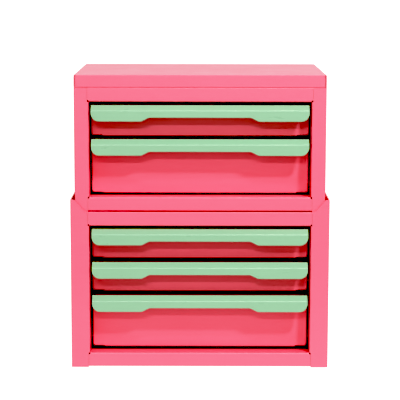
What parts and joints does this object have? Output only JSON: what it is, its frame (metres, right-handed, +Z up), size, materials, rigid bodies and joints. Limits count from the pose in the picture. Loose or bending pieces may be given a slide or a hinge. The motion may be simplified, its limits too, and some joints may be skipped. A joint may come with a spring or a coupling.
{
  "type": "desktop drawer organizer",
  "caption": "Desktop cabinet of folded sheet steel: two stacked cases of sliding drawers, each with a full-width folded pull handle, under a flat lid.",
  "frame": {"origin": "middle of the footprint, on the desk, level with the soles of the feet", "axes": "+Z up, +X to the right seen from the front, -Y towards the drawer fronts"},
  "size_m": [0.269, 0.186, 0.3096],
  "materials": {
    "pink_paint": "satin powder coat, warm pink",
    "mint_paint": "satin powder coat, mint green",
    "zinc": "bright zinc plate",
    "rubber": "matt black rubber"
  },
  "bodies": {
    "base_case": {"base_left_side": "pink_paint", "base_right_side": "pink_paint", "base_back": "pink_paint", "base_floor": "pink_paint", "base_roof": "pink_paint", "rubber_feet": "rubber", "runner_3_left": "pink_paint", "runner_3_right": "pink_paint", "runner_4_left": "pink_paint", "runner_4_right": "pink_paint", "runner_5_left": "pink_paint", "runner_5_right": "pink_paint"},
    "top_case": {"top_left_side": "pink_paint", "top_right_side": "pink_paint", "top_back": "pink_paint", "top_floor": "pink_paint", "top_roof": "pink_paint", "lid": "pink_paint", "lid_screws": "zinc", "runner_1_left": "pink_paint", "runner_1_right": "pink_paint", "runner_2_left": "pink_paint", "runner_2_right": "pink_paint"},
    "drawer_1": {"drawer_1_tray": "pink_paint", "drawer_1_front": "pink_paint", "drawer_1_back": "pink_paint", "drawer_1_handle": "mint_paint", "drawer_1_rivets": "zinc"},
    "drawer_2": {"drawer_2_tray": "pink_paint", "drawer_2_front": "pink_paint", "drawer_2_back": "pink_paint", "drawer_2_handle": "mint_paint", "drawer_2_rivets": "zinc"},
    "drawer_3": {"drawer_3_tray": "pink_paint", "drawer_3_front": "pink_paint", "drawer_3_back": "pink_paint", "drawer_3_handle": "mint_paint", "drawer_3_rivets": "zinc"},
    "drawer_4": {"drawer_4_tray": "pink_paint", "drawer_4_front": "pink_paint", "drawer_4_back": "pink_paint", "drawer_4_handle": "mint_paint", "drawer_4_rivets": "zinc"},
    "drawer_5": {"drawer_5_tray": "pink_paint", "drawer_5_front": "pink_paint", "drawer_5_back": "pink_paint", "drawer_5_handle": "mint_paint", "drawer_5_rivets": "zinc"}
  },
  "joints": [
    {"name": "top_case_lift", "type": "slide", "parent": "base_case", "child": "top_case", "axis": [0, 0, 1], "range_m": [0, 0.04]},
    {"name": "drawer_1_slide", "type": "slide", "parent": "top_case", "child": "drawer_1", "axis": [0, -1, 0], "range_m": [0, 0.12]},
    {"name": "drawer_2_slide", "type": "slide", "parent": "top_case", "child": "drawer_2", "axis": [0, -1, 0], "range_m": [0, 0.12]},
    {"name": "drawer_3_slide", "type": "slide", "parent": "base_case", "child": "drawer_3", "axis": [0, -1, 0], "range_m": [0, 0.12]},
    {"name": "drawer_4_slide", "type": "slide", "parent": "base_case", "child": "drawer_4", "axis": [0, -1, 0], "range_m": [0, 0.12]},
    {"name": "drawer_5_slide", "type": "slide", "parent": "base_case", "child": "drawer_5", "axis": [0, -1, 0], "range_m": [0, 0.12]}
  ]
}
